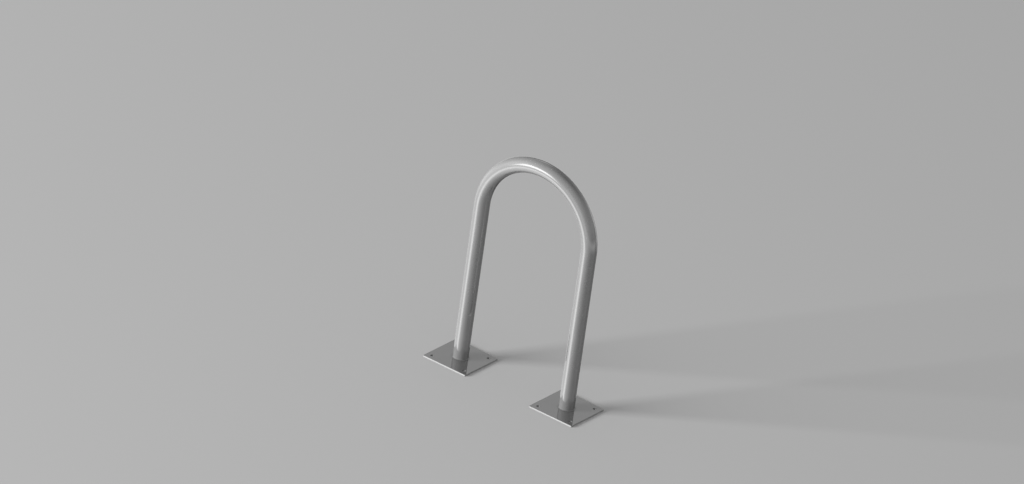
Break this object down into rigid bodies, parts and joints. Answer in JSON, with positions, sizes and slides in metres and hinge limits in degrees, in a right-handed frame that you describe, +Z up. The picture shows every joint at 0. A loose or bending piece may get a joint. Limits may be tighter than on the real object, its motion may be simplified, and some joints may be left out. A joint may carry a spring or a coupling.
{
  "type": "hoop bike rack",
  "caption": "Inverted-U hoop of round polished tube on square base plates with anchor holes, bolted to the ground for locking a bicycle.",
  "frame": {"origin": "on the ground, midway between the two legs", "axes": "+X along the hoop from the left leg to the right leg, +Y through the hoop, +Z up"},
  "size_m": [0.7, 0.2, 0.9299],
  "materials": {
    "polished_tube": "polished stainless steel",
    "polished_plate": "mirror-polished stainless steel",
    "weld": "dressed weld, polished"
  },
  "bodies": {
    "root": {"hoop_tube": "polished_tube", "base_plate_left": "polished_plate", "base_plate_right": "polished_plate", "weld_bead_left": "weld", "weld_bead_right": "weld"}
  },
  "joints": []
}
